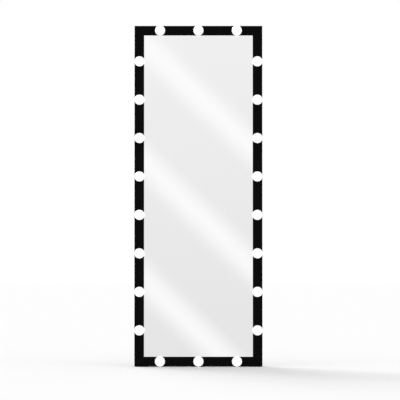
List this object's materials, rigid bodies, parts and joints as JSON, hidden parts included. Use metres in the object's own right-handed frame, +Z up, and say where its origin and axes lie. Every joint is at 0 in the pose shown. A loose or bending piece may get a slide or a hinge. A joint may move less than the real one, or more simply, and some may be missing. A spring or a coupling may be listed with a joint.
{
  "type": "lighted vanity mirror",
  "caption": "Full-length mirror in a black steel frame with globe bulbs all round, a folding U-shaped rear stand, wall keyholes, and a dimmer and switch behind.",
  "frame": {"origin": "on the floor, at the middle of the frame's width and depth", "axes": "+Z up, the mirror faces -Y, +X to the right of someone who looks into the mirror"},
  "size_m": [0.6, 0.2242, 1.6],
  "materials": {
    "black_powder_coat": "satin",
    "mirror_glass": "polished",
    "opal_globe": "satin",
    "white_plastic": "satin",
    "zinc_plate": "satin",
    "nickel_plate": "gloss",
    "contact_brass": "satin",
    "black_plastic": "matte",
    "black_rubber": "matte",
    "cable_sheath": "satin",
    "hardboard": "matte",
    "foam_tape": "matte",
    "aluminium_board": "satin",
    "nylon": "matte",
    "circuit_board": "satin",
    "coil_tape": "satin",
    "terminal_blue": "satin",
    "white_mark": "satin"
  },
  "bodies": {
    "mirror_frame": {"rail_left": "black_powder_coat", "rail_right": "black_powder_coat", "rail_top": "black_powder_coat", "rail_bottom": "black_powder_coat", "corner_brackets": "zinc_plate", "corner_screws": "zinc_plate", "rubber_feet": "black_rubber", "mirror_pane": "mirror_glass", "glazing_tape": "foam_tape", "backing_board": "hardboard", "pane_clips": "zinc_plate", "pane_clip_screws": "zinc_plate", "globes_left": "opal_globe", "globes_right": "opal_globe", "globes_top": "opal_globe", "globes_bottom": "opal_globe", "bulb_necks": "white_plastic", "bulb_led_boards": "aluminium_board", "bulb_screw_shells": "nickel_plate", "bulb_insulators": "black_plastic", "bulb_tip_contacts": "nickel_plate", "lampholders": "black_plastic", "lampholder_rings": "black_plastic", "lampholder_contacts": "contact_brass", "wire_loom": "cable_sheath", "back_cover": "black_powder_coat", "cover_screws": "zinc_plate", "hanger_plates": "zinc_plate", "hanger_screws": "zinc_plate", "stand_cross_bar": "zinc_plate", "stand_brackets": "black_powder_coat", "stand_bolts": "zinc_plate", "stand_nuts": "zinc_plate", "stand_pins": "zinc_plate", "stand_pin_clips": "zinc_plate", "stand_washers": "nylon", "control_housing": "black_plastic", "housing_screws": "zinc_plate", "driver_board": "circuit_board", "driver_parts": "coil_tape", "terminal_block": "terminal_blue", "feed_cable": "cable_sheath", "cable_grommet": "black_rubber", "cord_gland": "black_rubber", "dimmer_body": "zinc_plate", "dimmer_nut": "nickel_plate", "switch_body": "black_plastic"},
    "stand": {"stand_tube": "black_powder_coat", "stand_tube_plugs": "black_plastic", "stand_sleeves": "black_rubber"},
    "dimmer": {"dimmer_shaft": "nickel_plate", "dimmer_knob": "black_plastic", "knob_pointer": "white_mark"},
    "rocker": {"switch_rocker": "black_plastic"}
  },
  "joints": [
    {"name": "stand_fold", "type": "hinge", "parent": "mirror_frame", "child": "stand", "pos_m": [0, 0.03785, 0.6], "axis": [1, 0, 0], "range_deg": [-10, 0]},
    {"name": "dimmer_turn", "type": "hinge", "parent": "mirror_frame", "child": "dimmer", "pos_m": [0.283, 0.0385, 0.937], "axis": [1, 0, 0], "range_deg": [0, 270]},
    {"name": "rocker_tip", "type": "hinge", "parent": "mirror_frame", "child": "rocker", "pos_m": [0.2795, 0.0385, 0.893], "axis": [0, 1, 0], "range_deg": [0, 14]}
  ]
}
